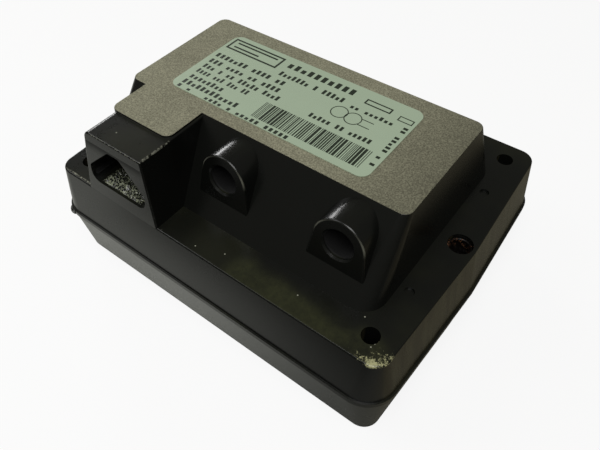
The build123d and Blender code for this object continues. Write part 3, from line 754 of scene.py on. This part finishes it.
# %% Print
ROWS = (
    (-13.4, 11.5, 13.6, 2.7, (10,)), (-13.2, 10.5, 8.7, 2.2, (7, 1, 5)),
    (-35.4, -8.1, 4.9, 2.1, (7, 4, 2)), (-35.0, -7.3, 1.3, 2.1, (3, 4, 2, 4)),
    (-34.7, -5.0, -1.9, 2.1, (3, 1, 2, 5, 4)), (-34.6, -14.1, -5.0, 2.1, (4, 3, 3, 2)),
    (-34.2, -20.9, -8.3, 2.1, (8,)), (-34.3, -12.6, -11.5, 2.1, (12,)),
    (-34.3, -28.6, -14.0, 1.4, (1, 1)), (-23.3, 7.3, -14.1, 1.5, (4, 1, 5, 5)),
    (5.6, 26.2, -2.2, 1.9, (5, 2, 5)), (12.9, 27.1, 7.9, 1.7, (2, 6)),
)
UPRIGHT_ROW = (0.0, 19.0, 0.0, 1.4, (2, 5, 1, 1))
FRAMES = ((-36.0, -16.0, 9.6, 15.6, 0.7), (15.0, 23.6, 11.2, 13.6, 0.5), (26.4, 31.0, 10.2, 12.4, 0.35))
LINES = (
    (-34.0, -18.0, 13.4, 14.1), (-34.0, -24.0, 11.2, 11.9),
    (18.7, 22.4, 4.6, 4.9), (18.5, 22.4, 1.9, 2.2),
)
RINGS = ((11.7, 3.7, 2.5, 0.3), (16.4, 3.4, 2.5, 0.3))

ink = bmesh.new()
for row in ROWS:
    word_row(ink, *row)
upright = Matrix.Translation((30.4 * MM, 8.6 * MM, 0)) @ Matrix.Rotation(-math.pi / 2, 4, "Z")
word_row(ink, *UPRIGHT_ROW, upright)
for sides in FRAMES:
    open_frame(ink, *sides)
for sides in LINES:
    bar(ink, *sides)
for circle in RINGS:
    ring(ink, *circle)
print("rows, frames, lines and rings:", len(ROWS) + 1, len(FRAMES), len(LINES), len(RINGS))

# %% [markdown]
# The stripes are drawn at random, from a few widths and gaps, so they stand for nothing.

# %% Stripes
STRIPE_WIDTHS = (0.22, 0.22, 0.45, 0.8)
STRIPE_GAPS = (0.25, 0.25, 0.4)
FIELD_LEFT, FIELD_RIGHT = -7.4, 28.0
FIELD_LOW, FIELD_HIGH = -12.6, -5.0

stripe = FIELD_LEFT
while stripe < FIELD_RIGHT:
    width = random.choice(STRIPE_WIDTHS)
    bar(ink, stripe, stripe + width, FIELD_LOW, FIELD_HIGH)
    stripe += width + random.choice(STRIPE_GAPS)
ink_finish = plain_finish("dark_ink", colour(36, 44, 33), 0.45, cloud=0.1, grain=0.0)
add_piece("label_print", ink, ink_finish)

# %% [markdown]
# ## The resin on the socket's floor
#
# Some casting resin ran into the socket and set there with a crinkled skin that glitters.
# A bump map would leave its outline straight, and a simulation would be slow and hard to steer.
# So a fine grid is lifted by a cell pattern, whose folds look like crumpled film.

# %% Crinkled resin
FOLD_SIZE = 2.1 * MM
FOLD_SHARPNESS = 1.6
LUMP_SIZE = 3.0 * MM
SIDE_TAPER = 1.5 * MM
END_TAPER = 0.8 * MM

resin = bmesh.new()
spill_size = spill_high - spill_low
spill_middle = (spill_low + spill_high) / 2
bmesh.ops.create_grid(resin, x_segments=100, y_segments=130, size=0.5)
bmesh.ops.scale(resin, vec=(spill_size.x, spill_size.y, 1.0), verts=resin.verts)
bmesh.ops.translate(resin, vec=(spill_middle.x, spill_middle.y, spill_low.z), verts=resin.verts)
for vert in resin.verts:
    nearest, second = noise.voronoi(vert.co / FOLD_SIZE)[0][:2]
    fold = min(1.0, (second - nearest) * FOLD_SHARPNESS)
    lump = 0.5 + 0.5 * noise.noise(vert.co / LUMP_SIZE)
    side = min(vert.co.x - spill_low.x, spill_high.x - vert.co.x) / SIDE_TAPER
    end = min(vert.co.y - spill_low.y, spill_high.y - vert.co.y) / END_TAPER
    taper = min(1.0, side, end)
    vert.co.z += spill_size.z * (0.06 + 0.88 * taper * (0.35 + 0.65 * lump) * (0.25 + 0.75 * fold))
print("resin size, mm:", [round(v / MM, 1) for v in spill_size])

# %% [markdown]
# The border is extruded to the floor and the bottom is filled, so that the piece is closed.
# The skin is glossy; near the socket's mouth its cells get painted glints, and towards the far end a
# painted shade darkens it.

# %% Closing and dressing the resin
border = [edge for edge in resin.edges if edge.is_boundary]
skirt = bmesh.ops.extrude_edge_only(resin, edges=border)["geom"]
for vert in (part for part in skirt if isinstance(part, bmesh.types.BMVert)):
    vert.co.z = spill_low.z
bmesh.ops.holes_fill(resin, edges=[edge for edge in resin.edges if edge.is_boundary], sides=0)

resin_finish, shader, place = new_material("crinkled_resin")
cells_and_painted_glints = place.cells(0.55 * MM)
depth = place.part(1).step(spill_low.y + 1.5 * MM, spill_low.y + 9.0 * MM)
# Bright cells are painted glints near the mouth; deeper in, the colour fades to a painted shade.
plug_in(
    shader,
    Base_Color=(cells_and_painted_glints.step(0.45, 0.75) * (1.0 - depth)).mix(colour(9, 9, 8), colour(122, 126, 106)),
    Roughness=0.12 + 0.25 * cells_and_painted_glints,
    Normal=place.bump(cells_and_painted_glints * (0.06 * MM)),
)
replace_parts(add_piece("crinkled_resin", resin, resin_finish), "spilled_resin")

# %% [markdown]
# ## Flash at the parting line
#
# Where the two shells meet at the left front corner, a little plastic was squeezed out
# and stands off as a small nub. It is a ball, flattened, turned and made uneven by noise,
# and cut short where it would stand out past the front of the shell.

# %% Flash nub
NUB_UNEVEN = 0.18 * MM
nub = bmesh.new()
stand = Matrix.Translation(point(-56.7, -49.2, 19.7)) @ Matrix.Rotation(math.radians(-26), 4, "Z")
size = Matrix.Diagonal((2.0 * MM, 0.9 * MM, 1.1 * MM, 1))
bmesh.ops.create_icosphere(nub, subdivisions=4, radius=1.0, matrix=stand @ size)
for vert in nub.verts:
    vert.co += vert.normal * noise.noise(vert.co / (0.8 * MM)) * NUB_UNEVEN
    vert.co.y = max(vert.co.y, shell_front + 0.02 * MM)
add_piece("parting_flash", nub, tray_finish)

# %% [markdown]
